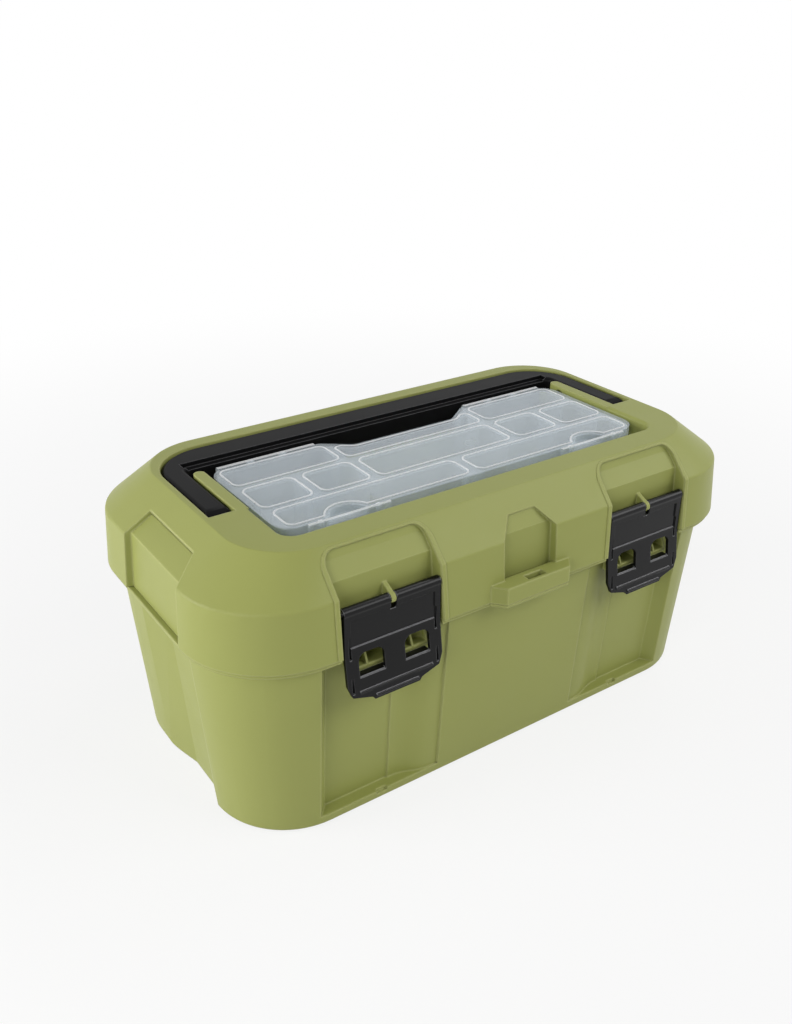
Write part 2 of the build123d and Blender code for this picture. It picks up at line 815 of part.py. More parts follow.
def latch_plate():
    """Folded plate of a latch, cut to its outline."""
    half = latch_width / 2
    foot = half - latch_side_taper
    taper = latch_shoulder - latch_taper_drop
    outline = Polygon(
        (-half, latch_pivot_z), (-half, latch_shoulder), (-foot, taper),
        (-lip_half - 2, latch_bottom + lip_rise), (-lip_half, latch_bottom),
        (lip_half, latch_bottom), (lip_half + 2, latch_bottom + lip_rise),
        (foot, taper), (half, latch_shoulder), (half, latch_pivot_z), align=None)
    low = latch_front(latch_bottom)
    plate = across([(latch_fold_y, latch_pivot_z), (latch_fold_y, latch_fold),
                    (low, latch_bottom), (low + latch_thickness, latch_bottom),
                    (latch_fold_y + latch_thickness, latch_fold),
                    (latch_fold_y + latch_thickness, latch_pivot_z)], 0, latch_width)
    return plate & from_front(outline, latch_pivot_y + 10, latch_pivot_y - 20)


def make_latch(middle):
    half = latch_width / 2
    inner = half - latch_rim
    plate = latch_plate()
    plate -= span(-inner, inner, latch_fold_y - past, latch_fold_y + latch_panel_step,
                  latch_fold + 3, latch_pivot_z - roll_radius - 2)
    plate += bar(roll_radius, 0, latch_width, latch_pivot_y, latch_pivot_z)
    for side in (-1, 1):
        plate -= latch_window(side * window_offset)
        rim = side * (inner + side_groove_width / 2)
        for low, high in side_grooves:
            face = latch_front(parting_height + (low + high) / 2)
            plate -= span(rim - side_groove_width / 2, rim + side_groove_width / 2, face - past,
                          face + side_groove_depth, parting_height + low, parting_height + high)
        peg = latch_recess_half + peg_length - 0.2 - half
        plate += bar(peg_radius, side * (half + peg / 2 - 1), peg + 2,
                     latch_pivot_y, latch_pivot_z)
    for height, reach in ((parting_height - grip_bar_drop, inner - past),
                          (latch_bottom + 2 * grip_bar_radius, lip_half - 1)):
        plate += bar(grip_bar_radius, 0, 2 * reach, latch_front(height) + 0.2, height)
    sill_top = catch_top - catch_thickness - hook_gap
    front = latch_front(sill_top) + 1
    reach = window_offset + window_width / 2
    plate += span(-reach, reach, front, catch_nose - hook_gap, sill_top - sill, sill_top)
    waist = bar(roll_radius + past, 0, clasp_width, latch_pivot_y, latch_pivot_z)
    plate -= waist - bar(waist_radius, 0, clasp_width, latch_pivot_y, latch_pivot_z)
    return Pos(middle, 0, 0) * plate


# Organiser


def box_plan(inset):
    """Outline of the organiser, with the finger notch in its rear edge."""
    half = box_half - inset
    depth = box_depth / 2 - inset
    notch = depth - notch_depth
    top = notch_half + inset / 2
    low = notch_half - notch_run + inset / 2
    plan = Polygon((-half, -depth), (half, -depth), (half, depth), (top, depth), (low, notch),
                   (-low, notch), (-top, depth), (-half, depth), align=None)
    corners = plan.vertices().filter_by(lambda v: abs(v.X) > half - 1)
    plan = fillet(corners, box_corner - inset)
    bends = plan.vertices().filter_by(lambda v: abs(v.X) < top + 1)
    return fillet(bends, notch_round)


def in_bay(shape):
    """The shape moved from the organiser's own frame to its seat in the lid."""
    return Pos(0, box_center_y, bay_floor_height + seat_gap) * shape


def cell_boxes():
    """Compartments as (x0, x1, y0, y1, floor), the odd-shaped one left out."""
    inner, outer = columns[1], columns[2]
    boxes = [(-center_half, center_half, *middle_row, center_floor)]
    for side in (-1, 1):
        spans = [((inner[0] + rear_cell_step, outer[1]), rear_row),
                 ((front_cell_inner, outer[1] - front_cell_end_step), front_row),
                 (inner, middle_row), (outer, middle_row)]
        for (near, far), (front, rear) in spans:
            x0, x1 = sorted((side * near, side * far))
            boxes.append((x0, x1, front, rear, tray_wall))
    return boxes


def notch_cell(grow):
    """Outline of the compartment behind the finger notch, with its two horns."""
    land = notch_cell_land - grow
    side = center_half + notch_cell_side + grow
    bend = notch_half - notch_run + land / 2
    front = rear_row[0] - grow
    rear = box_depth / 2 - notch_depth - land
    horn = rear + notch_cell_rise
    shoulder = bend + notch_cell_rise * notch_run / notch_depth
    plan = Polygon((-side, front), (side, front), (side, horn), (shoulder, horn), (bend, rear),
                   (-bend, rear), (-shoulder, horn), (-side, horn), align=None)
    plan = fillet(plan.vertices().filter_by(lambda v: v.Y < front + 1), cell_corner + grow)
    tips = plan.vertices().filter_by(lambda v: v.Y > horn - 0.1 and abs(v.X) > side - 1)
    plan = fillet(tips, cell_corner / 2 + grow)
    shoulders = plan.vertices().filter_by(
        lambda v: v.Y > horn - 0.1 and abs(v.X) < shoulder + 0.1)
    plan = fillet(shoulders, cell_corner - 2)
    bends = plan.vertices().filter_by(lambda v: v.Y > rear - 0.1 and abs(v.X) < bend + 0.1)
    return fillet(bends, notch_round)


def cups(grow):
    """All the drafted compartments; grow makes their outer sides."""
    top = deck_height + (0 if grow else 1)
    every = narrowing(notch_cell(grow), top, tray_wall - grow, cell_draft)
    for x0, x1, y0, y1, floor in cell_boxes():
        plan = RectangleRounded(x1 - x0 + 2 * grow, y1 - y0 + 2 * grow, cell_corner + grow)
        plan = Pos((x0 + x1) / 2, (y0 + y1) / 2) * plan
        every += narrowing(plan, top, floor - grow, cell_draft)
    for side in (-1, 1):
        every -= thumb(side, thumb_radius + thumb_rim - grow, -5)
    return every


def beads():
    """Raised lines on the cover, round each compartment."""
    lines = notch_cell(bead_width) - notch_cell(0)
    for x0, x1, y0, y1, floor in cell_boxes():
        place = Pos((x0 + x1) / 2, (y0 + y1) / 2)
        inner = place * RectangleRounded(x1 - x0, y1 - y0, cell_corner)
        outer = place * RectangleRounded(x1 - x0 + 2 * bead_width, y1 - y0 + 2 * bead_width,
                                         cell_corner + bead_width)
        if y1 < middle_row[0]:
            for side in (-1, 1):
                middle = Pos(side * clip_center, thumb_y)
                inner -= middle * Circle(thumb_radius + thumb_rim)
                outer -= middle * Circle(thumb_radius + thumb_rim - bead_width)
        lines += outer - inner
    return lines


def thumb(side, radius, low):
    """Round dish in the front edge, behind a clip, cut down to a height."""
    high = deck_height + 10
    return Pos(side * clip_center, thumb_y, (low + high) / 2) * Cylinder(radius, high - low)


def hinge_pitch():
    """Inner end of the organiser's hinge on one side, and the length of one barrel."""
    inner = notch_half + box_hinge_inset
    return inner, (box_half - box_hinge_end - inner) / 3


def box_ears():
    """Middles of the ears between the three barrels of each side."""
    inner, barrel = hinge_pitch()
    return [side * (inner + count * barrel) for side in (-1, 1) for count in (1, 2)]


def make_organizer_tray():
    deck = deck_height
    inset = cover_wall + seat_gap
    block = narrowing(box_plan(inset), deck, 0, box_draft)
    hollow = narrowing(box_plan(inset + tray_wall), deck - tray_wall, -1, box_draft)
    hollow -= cups(tray_wall)
    dish = deck - dish_depth - cover_thickness
    for side in (-1, 1):
        hollow -= thumb(side, thumb_radius + 2 * tray_wall + seat_gap, dish - tray_wall)
    tray = block - hollow - cups(0)
    wall = -box_depth / 2 + past
    edge = box_depth / 2 - 3
    for side in (-1, 1):
        tray -= thumb(side, thumb_radius + tray_wall + seat_gap, dish)
        tray += across([(wall, clip_nose_z - 2), (clip_nose_y + 0.8, clip_nose_z - 2),
                        (clip_nose_y, clip_nose_z), (wall, clip_nose_z)],
                       side * clip_center, clip_width - 8)
        for count in range(comb_count):
            middle = side * (comb_center + (count - (comb_count - 1) / 2) * comb_pitch)
            tray += across([(wall, deck - cover_skirt - 1), (wall, clip_nose_z - comb_height),
                            (clip_nose_y + 2.6, clip_nose_z - comb_height),
                            (clip_nose_y + 1.6, deck - cover_skirt - 1)], middle, comb_rib)
    for middle in box_ears():
        ear = across([(edge, deck - 3), (box_hinge_y, box_hinge_z - hinge_barrel_radius),
                      (box_hinge_y, box_hinge_z), (edge, deck)], middle, box_ear_width)
        ear += bar(hinge_barrel_radius, middle, box_ear_width, box_hinge_y, box_hinge_z)
        tray += ear - bar(hinge_rod_radius + rod_gap, middle, box_ear_width,
                          box_hinge_y, box_hinge_z)
    return in_bay(tray)


def clip_ear(place, low, top):
    """Ear on the cover's front edge that holds a clip's rod."""
    edge = -box_depth / 2 + 1
    ear = across([(edge, low), (clip_rod_y, clip_rod_z - clip_ear_radius),
                  (clip_rod_y, clip_rod_z + clip_ear_radius), (edge, top)],
                 place, clip_ear_width)
    ear += bar(clip_ear_radius, place, clip_ear_width, clip_rod_y, clip_rod_z)
    return ear - bar(clip_rod_radius + rod_gap, place, clip_ear_width, clip_rod_y, clip_rod_z)


def hinge_barrels(side, low, top):
    """Barrel along one end of the cover's rear edge."""
    inner, barrel = hinge_pitch()
    middle = side * (inner + 1.5 * barrel)
    edge = box_depth / 2 - 2
    barrels = across([(edge, low), (box_hinge_y, low),
                      (box_hinge_y, box_hinge_z + hinge_barrel_radius), (edge, top)],
                     middle, 3 * barrel)
    return barrels + bar(hinge_barrel_radius, middle, 3 * barrel, box_hinge_y, box_hinge_z)


def make_organizer_lid():
    low = deck_height + seat_gap
    top = low + cover_thickness
    rim = upright(box_plan(0), low - cover_skirt, low)
    rim -= upright(box_plan(cover_wall), low - cover_skirt - 1, low + 1)
    rim &= span(-rim_length, rim_length, -box_depth, box_depth / 2 - skirt_short, 0, top)
    cover = upright(box_plan(0), low, top) + rim
    inside = upright(box_plan(cover_wall / 2), low - dish_depth, top)
    for side in (-1, 1):
        cover += thumb(side, thumb_radius + tray_wall, low - dish_depth) & inside
        cover -= thumb(side, thumb_radius, low - dish_depth + cover_thickness)
        cover += hinge_barrels(side, low, top)
        for place in (-clip_ear_offset, clip_ear_offset):
            cover += clip_ear(side * clip_center + place, low, top)
    cover += upright(beads(), top - 0.2, top + bead_height)
    for place in box_ears():
        cover -= bar(hinge_barrel_radius + seat_gap, place, box_ear_width + 2 * box_ear_gap,
                     box_hinge_y, box_hinge_z)
        cover += bar(hinge_rod_radius, place, box_ear_width + 3 * box_ear_gap,
                     box_hinge_y, box_hinge_z)
    return in_bay(cover)


def make_organizer_clip(side):
    middle = side * clip_center
    half = clip_width / 2
    face = clip_rod_y - clip_thickness / 2
    foot = clip_rod_z - clip_drop
    clip = span(middle - half, middle + half, face, face + clip_thickness, foot, clip_rod_z)
    clip += bar(clip_barrel_radius, middle, clip_width, clip_rod_y, clip_rod_z)
    clip += across([(face + 0.5, foot), (clip_nose_y - hook_gap, foot + 0.5),
                    (clip_nose_y - hook_gap, foot + clip_foot_height),
                    (face + 0.5, foot + clip_foot_height)], middle, clip_width)
    room = clip_ear_width / 2 + clip_ear_gap
    for place in (middle - clip_ear_offset, middle + clip_ear_offset):
        clip -= span(place - room, place + room, clip_rod_y - past, clip_rod_y + past,
                     clip_rod_z - clip_ear_radius - clip_ear_gap, clip_rod_z + past)
    clip += bar(clip_rod_radius, middle, clip_width - 4, clip_rod_y, clip_rod_z)
    return in_bay(clip)


os.makedirs("parts", exist_ok=True)
pieces = {
    "base_shell": make_base_shell(),
    "lid_hinge_pin_left": make_hinge_pin(-hinge_center),
    "lid_hinge_pin_right": make_hinge_pin(hinge_center),
    "lid_shell": make_lid_shell(),
    "carry_handle": make_carry_handle(),
    "front_latch_left": make_latch(-latch_center),
    "front_latch_right": make_latch(latch_center),
    "organizer_tray": make_organizer_tray(),
    "organizer_lid": make_organizer_lid(),
    "organizer_clip_left": make_organizer_clip(-1),
    "organizer_clip_right": make_organizer_clip(1),
}
for name, piece in pieces.items():
    export_step(piece, f"parts/{name}.step")
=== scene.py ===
# %% [markdown]
# A moulded toolbox, dressed in Blender.
# The solids come packed from the CAD model, in metres and in their own places.
# This file gives them softened edges, plastics that look like the real ones,
# and a plain studio.

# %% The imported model
import json
from math import radians

import bmesh
import bpy
from mathutils import Matrix, Vector


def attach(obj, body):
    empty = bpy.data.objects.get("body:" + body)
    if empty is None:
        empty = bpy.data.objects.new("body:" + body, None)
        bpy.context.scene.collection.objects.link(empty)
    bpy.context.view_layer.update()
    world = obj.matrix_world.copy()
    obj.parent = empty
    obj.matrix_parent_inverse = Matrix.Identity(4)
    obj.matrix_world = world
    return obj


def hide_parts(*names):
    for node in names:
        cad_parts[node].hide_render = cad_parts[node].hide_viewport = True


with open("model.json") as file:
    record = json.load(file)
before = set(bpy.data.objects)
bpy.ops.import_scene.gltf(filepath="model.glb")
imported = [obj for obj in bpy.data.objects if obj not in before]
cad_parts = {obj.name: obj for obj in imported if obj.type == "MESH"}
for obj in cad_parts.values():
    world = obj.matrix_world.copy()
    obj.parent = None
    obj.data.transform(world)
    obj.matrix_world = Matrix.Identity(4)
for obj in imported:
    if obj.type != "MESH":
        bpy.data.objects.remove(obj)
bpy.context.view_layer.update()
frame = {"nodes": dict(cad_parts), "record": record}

print("nodes", sorted(frame["nodes"]))

# %% [markdown]
# The camera stands where the photographer's stood.
# Its place and turn were found once, from the corners of the box,
# and are written here as numbers.
# The image is taller than wide, so the sensor's 36 mm lie along its height.

# %% Camera
camera_place = Vector((-0.44921, -0.61348, 0.55005))
camera_back = Vector((-0.5033, -0.7352, 0.4541)).normalized()
camera_roll = radians(0.122)
focal_length, sensor_length = 35.46, 36
nearest_seen = 0.01


def place_camera():
    right = Vector((0, 0, 1)).cross(camera_back).normalized()
    turn = Matrix.Rotation(camera_roll, 3, camera_back)
    right = turn @ right
    up = camera_back.cross(right)
    camera = bpy.data.objects.new("camera", bpy.data.cameras.new("camera"))
    axes = Matrix((right, up, camera_back)).transposed()
    camera.matrix_world = Matrix.Translation(camera_place) @ axes.to_4x4()
    camera.data.lens = focal_length
    camera.data.sensor_width = sensor_length
    camera.data.clip_start = nearest_seen
    bpy.context.scene.collection.objects.link(camera)
    bpy.context.scene.camera = camera


place_camera()
bpy.context.scene.view_settings.view_transform = "Standard"
print("camera", bpy.context.scene.camera.location)

# %% [markdown]
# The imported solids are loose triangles, and a smooth surface over loose triangles
# shows every one. So each solid gets a merged copy: doubles are joined and flat faces
# become one face again.
# An edge stays sharp where it turns by more than 35 degrees. Where two wide faces meet,
# 8 degrees are enough, because a shallow recess has such corners
# and a curve's narrow facets don't.
# The normals are weighted by face area, which keeps the big faces flat up to their corners.
# The copy stands for the solid, which stays in the model for collision.

# %% Merged copies of the solids
body_of = {node: body for body, nodes in frame["record"]["behaviour"]["bodies"].items()
           for node in nodes}
double_distance, flat_turn = 1e-6, radians(0.4)
crease, shallow_crease = radians(35), radians(8)
wide = 0.005
area_weight = 60


def mark_edges(shape):
    """Marks a mesh's smooth faces and the edges that stay sharp."""
    for face in shape.faces:
        face.smooth = True
    for edge in shape.edges:
        turn = edge.calc_face_angle(0)
        narrowest = min((2 * face.calc_area() / face.calc_perimeter()
                         for face in edge.link_faces), default=0)
        edge.smooth = turn < (shallow_crease if narrowest > wide else crease)


def weigh_normals(piece):
    """Shades a piece's flats as flats and its rounds as rounds."""
    weighed = piece.modifiers.new("weighted normals", "WEIGHTED_NORMAL")
    weighed.mode = "FACE_AREA"
    weighed.weight = area_weight
    weighed.keep_sharp = True


def merged_copy(node):
    """A merged copy of a solid, which rides on the solid's body and replaces it."""
    mesh = frame["nodes"][node].data.copy()
    mesh.materials.clear()
    shape = bmesh.new()
    shape.from_mesh(mesh)
    bmesh.ops.remove_doubles(shape, verts=shape.verts, dist=double_distance)
    bmesh.ops.dissolve_limit(shape, angle_limit=flat_turn, verts=shape.verts,
                             edges=shape.edges, delimit={"NORMAL"})
    mark_edges(shape)
    shape.to_mesh(mesh)
    shape.free()
    piece = bpy.data.objects.new(f"{node}_skin", mesh)
    bpy.context.scene.collection.objects.link(piece)
    weigh_normals(piece)
    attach(piece, body_of[node])
    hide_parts(node)
    return piece


pieces = {node: merged_copy(node) for node in frame["nodes"]}
for node, piece in pieces.items():
    print(node, len(piece.data.polygons), "faces")

# %% [markdown]
# A flat band, raised about half a millimetre, frames each latch recess on the real lid.
# It could be cut into the lid's mesh, but a separate thin strip is simpler
# and stays editable.
# Two outlines are drawn flat, seen from the front, and bridged to a band,
# which gets a thickness. Then each of its points is moved back onto the lid's front,
# which leans, and breaks at the shoulder.

# %% Frames round the latch recesses
lid_foot, shoulder, lid_top = 0.156, 0.201, 0.229
foot_face, shoulder_face, top_face = -0.136, -0.1327, -0.1075
recess_middle, recess_half, recess_lean, recess_top = 0.1225, 0.042, 0.003, 0.226
band_width, band_top, band_proud, band_thickness = 0.0042, 0.2277, 0.0006, 0.0016
recess_gap, foot_gap, foot_reach = 0.0002, 0.0003, 0.001
inner_corner, outer_corner = 0.009, 0.012


def lid_front(z):
    """Where the lid's front face stands at a height."""
    if z < shoulder:
        return foot_face + (shoulder_face - foot_face) * (z - lid_foot) / (shoulder - lid_foot)
    return shoulder_face + (top_face - shoulder_face) * (z - shoulder) / (lid_top - shoulder)


def draw_outline(shape, side, grow, top, corner):
    """One rounded outline of a band, as a loop of edges; grow widens it."""
    inner = recess_middle - recess_half - grow
    outer = recess_middle + recess_half + grow
    low = lid_foot + foot_gap
    points = ((inner, low), (outer, low), (outer, top), (inner + recess_lean, top))
    verts = [shape.verts.new((side * x, 0, z)) for x, z in points]
    shape.faces.new(verts)
    bmesh.ops.bevel(shape, geom=verts[2:], affect="VERTICES", offset=corner, segments=6,
                    profile=0.5, material=-1, clamp_overlap=True)
    face = next(f for f in shape.faces if f.is_valid)
    edges = list(face.edges)
    bmesh.ops.delete(shape, geom=[face], context="FACES_ONLY")
    return edges


def recess_frame(side, name):
    """The raised band round one latch recess, which rides on the lid."""
    shape = bmesh.new()
    inner = draw_outline(shape, side, recess_gap, recess_top + recess_gap, inner_corner)
    outer = draw_outline(shape, side, band_width, band_top, outer_corner)
    bmesh.ops.bridge_loops(shape, edges=inner + outer)
    foot = [f for f in shape.faces if f.calc_center_median().z < lid_foot + foot_reach]
    bmesh.ops.delete(shape, geom=foot, context="FACES")
    bmesh.ops.recalc_face_normals(shape, faces=shape.faces)
    bmesh.ops.solidify(shape, geom=shape.faces, thickness=band_thickness)
    bmesh.ops.bisect_plane(shape, geom=shape.verts[:] + shape.edges[:] + shape.faces[:],
                           plane_co=(0, 0, shoulder), plane_no=(0, 0, 1))
    back = max(v.co.y for v in shape.verts)
    for vert in shape.verts:
        inward = vert.co.y - back + band_thickness - band_proud
        vert.co.y = lid_front(vert.co.z) + inward
    bmesh.ops.recalc_face_normals(shape, faces=shape.faces)
    mark_edges(shape)
    mesh = bpy.data.meshes.new(name)
    shape.to_mesh(mesh)
    shape.free()
    band = bpy.data.objects.new(name, mesh)
    bpy.context.scene.collection.objects.link(band)
    weigh_normals(band)
    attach(band, "lid")
    return band


bands = [recess_frame(-1, "recess_frame_left"), recess_frame(1, "recess_frame_right")]
for band in bands:
    highest = max(v.co.z for v in band.data.vertices)
    print(band.name, len(band.data.polygons), "faces, up to z", highest)

# %% [markdown]
# Finishes are small sums on patterns, such as grain strength times a noise.
# A wrapper round a node's output lets those sums be written as plain expressions.
# Each operator adds one Math node behind the scenes.

# %% Shader sums


class Wire:
    """An output of a node, with arithmetic that adds Math nodes."""

    def __init__(self, tree, socket):
        self.tree = tree
        self.socket = socket

    def node(self, kind, settings=None, out=0, **inputs):
        """Any other node; inputs are named by the socket, or in0, in1 by their number."""
        made = self.tree.nodes.new(kind)
        for key, value in (settings or {}).items():
            setattr(made, key, value)
        for key, value in inputs.items():
            name = key.replace("_", " ")
            index = int(name[2:]) if name.startswith("in") and name[2:].isdigit() else name
            socket = made.inputs[index]
            if isinstance(value, Wire):
                self.tree.links.new(value.socket, socket)
            else:
                socket.default_value = value
        return Wire(self.tree, made.outputs[out])

    def math(self, operation, *values):
        fed = {f"in{i}": value for i, value in enumerate(values)}
        return self.node("ShaderNodeMath", {"operation": operation}, **fed)

    def __add__(self, other):
        return self.math("ADD", self, other)

    def __sub__(self, other):
        return self.math("SUBTRACT", self, other)

    def __mul__(self, other):
        return self.math("MULTIPLY", self, other)

    def __rsub__(self, other):
        return self.math("SUBTRACT", other, self)

    __radd__ = __add__
    __rmul__ = __mul__


def new_finish(name):
    """An empty material, its shader, and a wire that carries Object coordinates."""
    finish = bpy.data.materials.new(name)
    finish.use_nodes = True
    tree = finish.node_tree
    tree.nodes.clear()
    shader = tree.nodes.new("ShaderNodeBsdfPrincipled")
    output = tree.nodes.new("ShaderNodeOutputMaterial")
    tree.links.new(shader.outputs[0], output.inputs["Surface"])
    place = tree.nodes.new("ShaderNodeTexCoord")
    return finish, shader, Wire(tree, place.outputs["Object"])


def feed(shader, name, wire):
    """Links a wire to one of the shader's sockets."""
    wire.tree.links.new(wire.socket, shader.inputs[name])


def blend(wire, mask, low, high):
    """Colour that goes from low to high with the mask."""
    return wire.node("ShaderNodeMix", {"data_type": "RGBA"}, out=2, Factor=mask,
                     in6=low, in7=high)


print("shader sums ready")

# %% [markdown]
# A moulded part has no knife edges: every corner of its mould is eased by a millimetre or two.
# Those rounds catch the light as thin pale lines, so a part without them looks like cardboard.
# The Bevel node rolls the normals near an edge as a real round would, and needs no extra faces.
# It is used only where it turns the normal by more than about thirteen degrees,
# because on the wide curves it would bring out the flat facets that they are made of.

# %% Eased edges
hardly_turned = 0.975  # the cosine of thirteen degrees
edge_ramp = 40.0


def eased(place, radius):
    """Normals that roll over the sharp edges, and a mask of where they do."""
    rolled = place.node("ShaderNodeBevel", {"samples": 6}, Radius=radius)
    plain = place.node("ShaderNodeNewGeometry", out="Normal")
    same = place.node("ShaderNodeVectorMath", {"operation": "DOT_PRODUCT"}, out="Value",
                      in0=rolled, in1=plain)
    edge = place.node("ShaderNodeMath", {"operation": "MULTIPLY", "use_clamp": True},
                      in0=hardly_turned - same, in1=edge_ramp)
    mixed = place.node("ShaderNodeMix", {"data_type": "VECTOR"}, out=1, Factor=edge,
                       in4=plain, in5=rolled)
    return mixed.node("ShaderNodeVectorMath", {"operation": "NORMALIZE"}, in0=mixed), edge


print("edge helper ready")

# %% [markdown]
# The body and the lid are polypropylene with a fine spark-eroded grain, dull olive in colour.
# A small noise as a bump gives the grain, and two larger ones vary the colour and the gloss,
# because a moulding is never quite even: it flows, cools and gets handled.
# A paler olive along the edges is a painted highlight, the pale line a round edge shows in
# light.

# %% Olive plastic
olive = (0.322, 0.345, 0.103, 1)
olive_dark = (0.300, 0.321, 0.092, 1)
olive_painted_highlight = (0.500, 0.515, 0.210, 1)
olive_round, painted_highlight_share = 0.0024, 0.6


def olive_plastic(name):
    finish, shader, place = new_finish(name)
    rolled, edge = eased(place, olive_round)
    cloud = place.node("ShaderNodeTexNoise", Vector=place, Scale=9.0, Detail=3.0)
    flat = blend(place, cloud, olive_dark, olive)
    # The edges are tinted a paler olive: a painted highlight along every eased edge.
    feed(shader, "Base Color", blend(place, edge * painted_highlight_share, flat, olive_painted_highlight))
    fine = place.node("ShaderNodeTexNoise", Vector=place, Scale=1400.0, Detail=2.0)
    gloss = place.node("ShaderNodeTexNoise", Vector=place, Scale=45.0, Detail=2.0)
    feed(shader, "Roughness", gloss * 0.10 + 0.38)
    feed(shader, "Normal", place.node("ShaderNodeBump", Height=fine, Strength=0.4,
                                      Distance=0.0002, Normal=rolled))
    shader.inputs["IOR"].default_value = 1.49
    shader.inputs["Specular IOR Level"].default_value = 0.22
    return finish


olive_body = olive_plastic("olive body")
olive_lid = olive_plastic("olive lid")
print(olive_body.name, olive_lid.name)

# %% [markdown]
# The handle and the latches are black. A shiny black flat mirrors the white studio and
# turns grey, so both shine little, and the latches have the tighter surface.
# Their edges that face up are tinted lighter in colour: a painted highlight,
# standing in for the thin bars of light that a real round edge shows.

# %% Black plastic
black_painted_highlight = (0.30, 0.30, 0.31, 1)
black_round = 0.0011
upward_gain = 1.4


def black_plastic(name, rough, tone, shine, highlight_share):
    """A black finish; tone is its flats' grey, highlight_share the strength of its painted
    highlight.
    """
    finish, shader, place = new_finish(name)
    rolled, edge = eased(place, black_round)
    cloud = place.node("ShaderNodeTexNoise", Vector=place, Scale=30.0, Detail=2.0)
    low = (tone * 0.85, tone * 0.85, tone * 0.9, 1)
    flat = blend(place, cloud, low, (tone, tone, tone * 1.06, 1))
    upward = place.node("ShaderNodeSeparateXYZ", out="Z", Vector=rolled)
    lit = place.node("ShaderNodeMath", {"operation": "MULTIPLY", "use_clamp": True},
                     in0=upward, in1=upward_gain)
    # Edges that face up get a lighter grey: a painted highlight, stronger the more they face
    # up.
    feed(shader, "Base Color", blend(place, edge * lit * highlight_share, flat, black_painted_highlight))
    fine = place.node("ShaderNodeTexNoise", Vector=place, Scale=1100.0, Detail=1.0)
    feed(shader, "Roughness", cloud * 0.08 + rough)
    feed(shader, "Normal", place.node("ShaderNodeBump", Height=fine, Strength=0.12,
                                      Distance=0.0002, Normal=rolled))
    shader.inputs["IOR"].default_value = 1.5
    shader.inputs["Specular IOR Level"].default_value = shine
    return finish


black_handle = black_plastic("black handle", 0.36, 0.006, 0.05, 0.35)
black_latch = black_plastic("black latch", 0.20, 0.005, 0.20, 0.9)
print(black_handle.name, black_latch.name)

# %% [markdown]
# The organiser is clear polypropylene, which is never quite clear:
# it scatters light like thin milk. Each wall lets most of the light through and scatters
# the rest, so alpha is low and the scattered part is a pale blue.
# Seen edge on, a wall is thicker and so whiter.
# The raised lines on the cover are frosted, and the cells' floors have a fine square grid.
# Many clear walls stand behind each other, so a ray may pass 32 clear surfaces.

# %% Milky clear plastic
cover_face, cell_floor = 0.22625, 0.1925
grid_pitch, line_start = 0.0026, 0.8
milk_low, milk_high = (0.70, 0.79, 0.86, 1), (0.80, 0.87, 0.92, 1)
frost = (0.97, 0.98, 0.99, 1)
edge_on_milk, frost_milk = 0.45, 0.35
surfaces_passed = 32


def grid_lines(place, axis):
    """1 on the lines of the grid that run across one axis."""
    along = place.node("ShaderNodeSeparateXYZ", out=axis, Vector=place)
    part = along.math("FRACT", along * (1 / grid_pitch))
    return part.math("GREATER_THAN", part, line_start)


def milky_plastic(name, milk):
    """A clear finish; milk is how much a wall scatters where it is seen face on."""
    finish, shader, place = new_finish(name)
    cloud = place.node("ShaderNodeTexNoise", Vector=place, Scale=25.0, Detail=2.0)
    height = place.node("ShaderNodeSeparateXYZ", out="Z", Vector=place)
    frosted = height.math("GREATER_THAN", height, cover_face)
    facing = place.node("ShaderNodeLayerWeight", out="Facing", Blend=0.5)
    feed(shader, "Base Color", blend(place, frosted, blend(place, cloud, milk_low, milk_high),
                                     frost))
    thick = facing * facing * edge_on_milk
    feed(shader, "Alpha", cloud * 0.06 + milk + thick + frosted * frost_milk)
    low = height.math("LESS_THAN", height, cell_floor)
    grid = low * place.math("MAXIMUM", grid_lines(place, "X"), grid_lines(place, "Y"))
    feed(shader, "Roughness", cloud * 0.1 + 0.2 + frosted * 0.25)
    feed(shader, "Normal", place.node("ShaderNodeBump", Height=grid + cloud * 0.05,
                                      Strength=0.5, Distance=0.0003))
    shader.inputs["IOR"].default_value = 1.49
    return finish


milky_tray = milky_plastic("milky tray", 0.16)
milky_cover = milky_plastic("milky cover", 0.08)
bpy.context.scene.cycles.transparent_max_bounces = surfaces_passed
print(milky_tray.name, milky_cover.name)

# %% [markdown]
# The hinge pins are plain bright steel rod, mostly hidden in their knuckles.

# %% Steel


def steel(name):
    finish, shader, place = new_finish(name)
    streaks = place.node("ShaderNodeTexNoise", Vector=place, Scale=900.0, Detail=1.0)
    tint = blend(place, streaks, (0.5, 0.5, 0.5, 1), (0.62, 0.62, 0.63, 1))
    feed(shader, "Base Color", tint)
    feed(shader, "Roughness", streaks * 0.1 + 0.28)
    shader.inputs["Metallic"].default_value = 1.0
    return finish


pin_steel = steel("pin steel")
finish_of = {"base_shell": olive_body, "lid_shell": olive_lid, "carry_handle": black_handle,
             "front_latch_left": black_latch, "front_latch_right": black_latch,
             "organizer_tray": milky_tray, "organizer_lid": milky_cover,
             "organizer_clip_left": milky_cover, "organizer_clip_right": milky_cover,
             "lid_hinge_pin_left": pin_steel, "lid_hinge_pin_right": pin_steel}
for node, piece in pieces.items():
    piece.data.materials.append(finish_of[node])
for band in bands:
    band.data.materials.append(olive_lid)
print("finishes on", len(pieces) + len(bands), "pieces")

# %% [markdown]
# The studio is a pale floor under large soft lamps.
# The floor shows white to the camera because its own colour is mixed with a white glow
# that only camera, glossy and transmission rays see, so the box still casts a faint shadow
# and is lit no brighter for it. Away from the box the glow takes over, so no horizon shows.
# The floor lies a little below the box, so that the two don't share a plane.

# %% Floor and background
floor_gap, floor_half = 0.0003, 6
glow_near, fade_start, fade_end = 0.8, 0.35, 1.3
world_light, world_glow = 0.20, 0.80


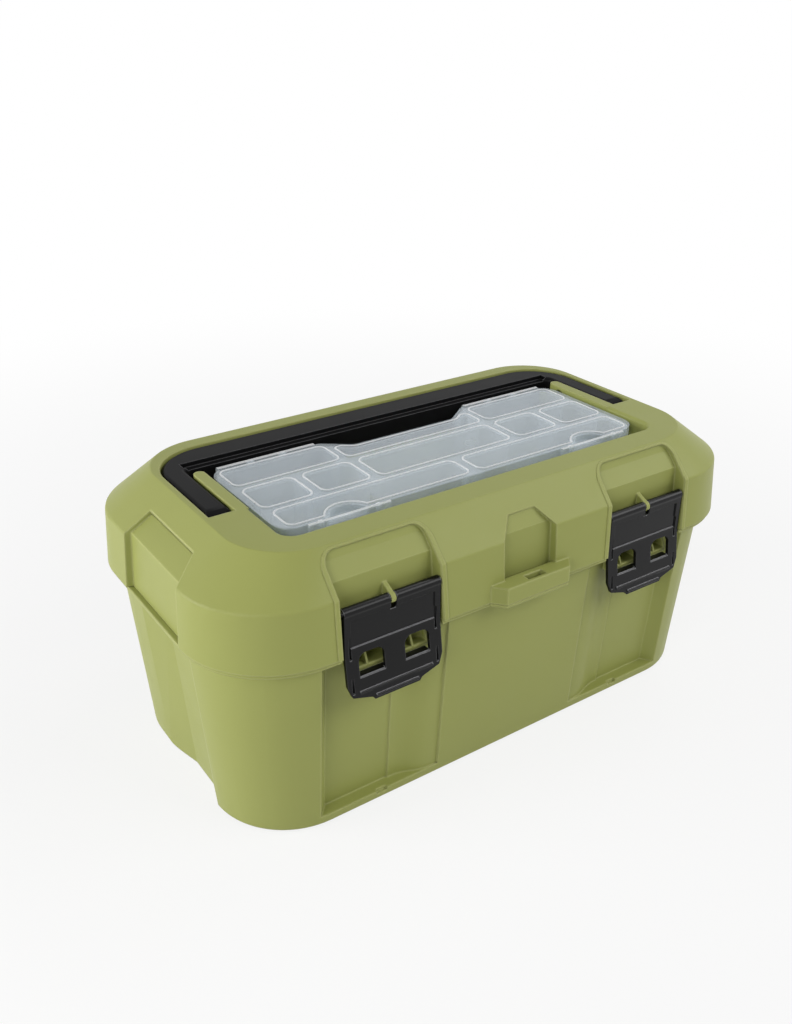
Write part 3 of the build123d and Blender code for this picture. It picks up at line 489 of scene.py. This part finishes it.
def seen_rays(wire):
    """1 for the rays that should see the white studio."""
    path = wire.tree.nodes.new("ShaderNodeLightPath")
    camera = Wire(wire.tree, path.outputs["Is Camera Ray"])
    glossy = Wire(wire.tree, path.outputs["Is Glossy Ray"])
    through = Wire(wire.tree, path.outputs["Is Transmission Ray"])
    direct = camera + glossy
    return direct.math("MAXIMUM", direct, through)


def make_floor():
    shape = bmesh.new()
    bmesh.ops.create_grid(shape, x_segments=1, y_segments=1, size=floor_half,
                          matrix=Matrix.Translation((0, 0, -floor_gap)))
    mesh = bpy.data.meshes.new("floor")
    shape.to_mesh(mesh)
    shape.free()
    floor = bpy.data.objects.new("floor", mesh)
    bpy.context.scene.collection.objects.link(floor)
    finish, shader, place = new_finish("pale floor")
    cloud = place.node("ShaderNodeTexNoise", Vector=place, Scale=3.0, Detail=1.0)
    tint = blend(place, cloud, (0.80, 0.80, 0.80, 1), (0.83, 0.83, 0.83, 1))
    feed(shader, "Base Color", tint)
    shader.inputs["Roughness"].default_value = 0.9
    tree = finish.node_tree
    glow = tree.nodes.new("ShaderNodeEmission")
    mix = tree.nodes.new("ShaderNodeMixShader")
    output = next(n for n in tree.nodes if n.type == "OUTPUT_MATERIAL")
    away = place.node("ShaderNodeVectorMath", {"operation": "LENGTH"}, out="Value", in0=place)
    fade = away.node("ShaderNodeMapRange", {"interpolation_type": "SMOOTHSTEP"}, Value=away,
                     From_Min=fade_start, From_Max=fade_end, To_Min=glow_near, To_Max=1.0)
    tree.links.new((seen_rays(place) * fade).socket, mix.inputs[0])
    tree.links.new(shader.outputs[0], mix.inputs[1])
    tree.links.new(glow.outputs[0], mix.inputs[2])
    tree.links.new(mix.outputs[0], output.inputs["Surface"])
    mesh.materials.append(finish)


def make_world():
    world = bpy.data.worlds.new("studio")
    bpy.context.scene.world = world
    world.use_nodes = True
    tree = world.node_tree
    tree.nodes.clear()
    back = tree.nodes.new("ShaderNodeBackground")
    output = tree.nodes.new("ShaderNodeOutputWorld")
    tree.links.new(back.outputs[0], output.inputs[0])
    back.inputs["Color"].default_value = (1, 1, 1, 1)
    seen = seen_rays(Wire(tree, None))
    tree.links.new((seen * world_glow + world_light).socket, back.inputs["Strength"])


make_floor()
make_world()
print("studio", bpy.context.scene.world.name)

# %% [markdown]
# One large lamp behind on the left makes the end brighter than the front,
# as in a product photo, and leaves one flank of the end's recess dark.
# A wide one in front on the right opens the shadows.
# A narrow one overhead draws pale lines on the edges that face up,
# and a small one on the left gives the rounded front corner its sheen.

# %% Lamps


def soft_lamp(name, place, target, size, power):
    data = bpy.data.lights.new(name, "AREA")
    data.shape = "RECTANGLE"
    data.size, data.size_y = size
    data.energy = power
    lamp = bpy.data.objects.new(name, data)
    bpy.context.scene.collection.objects.link(lamp)
    turn = (Vector(place) - Vector(target)).to_track_quat("Z", "Y")
    lamp.matrix_world = Matrix.Translation(place) @ turn.to_matrix().to_4x4()


middle = (0, 0, 0.12)
soft_lamp("key lamp", (-1.7, 0.6, 0.6), middle, (1.0, 0.9), 21)
soft_lamp("front lamp", (1.2, -1.3, 1.4), middle, (1.8, 1.0), 23)
soft_lamp("top lamp", (0.9, 0.1, 1.5), middle, (0.8, 0.4), 4)
soft_lamp("sheen lamp", (-1.2, -0.7, 0.7), middle, (0.6, 0.6), 6)
